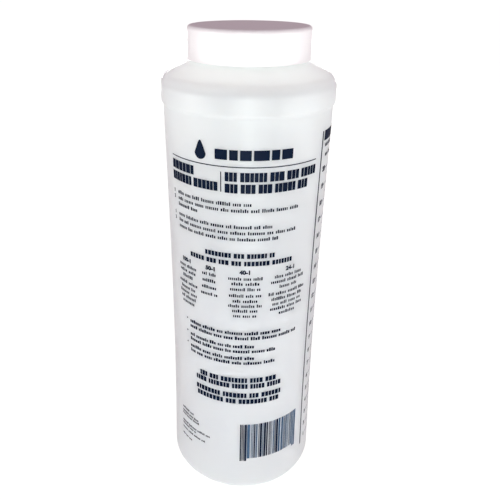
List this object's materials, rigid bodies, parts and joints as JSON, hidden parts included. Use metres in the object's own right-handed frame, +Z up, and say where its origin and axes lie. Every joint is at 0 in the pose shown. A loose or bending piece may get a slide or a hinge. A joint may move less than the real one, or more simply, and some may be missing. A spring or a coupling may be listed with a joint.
{
  "type": "fuel mixing bottle",
  "caption": "Tall round milky bottle with a recessed printed panel, a short sloped shoulder and a wide white screw cap, for measuring and mixing oil into fuel.",
  "frame": {"origin": "middle of the underside of the base, in the plane of the foot", "axes": "+Z up through the neck and cap, -Y towards the printed front"},
  "size_m": [0.08, 0.08, 0.24],
  "materials": {
    "milky_hdpe": "satin",
    "white_pp": "satin",
    "liner_foam": "matte",
    "navy_ink": "satin"
  },
  "bodies": {
    "bottle": {"bottle": "milky_hdpe"},
    "liner": {"cap_liner": "liner_foam"},
    "cap": {"cap": "white_pp"}
  },
  "joints": [
    {"name": "cap_lift", "type": "slide", "parent": "bottle", "child": "liner", "axis": [0, 0, 1], "range_m": [0, 0.0128]},
    {"name": "cap_turn", "type": "hinge", "parent": "liner", "child": "cap", "pos_m": [0, 0, 0.2], "axis": [0, 0, 1], "range_deg": [0, 1080]}
  ],
  "couplings": [
    {"joint": "cap_lift", "follows": "cap_turn", "m_per_rad": 0.0006737}
  ]
}
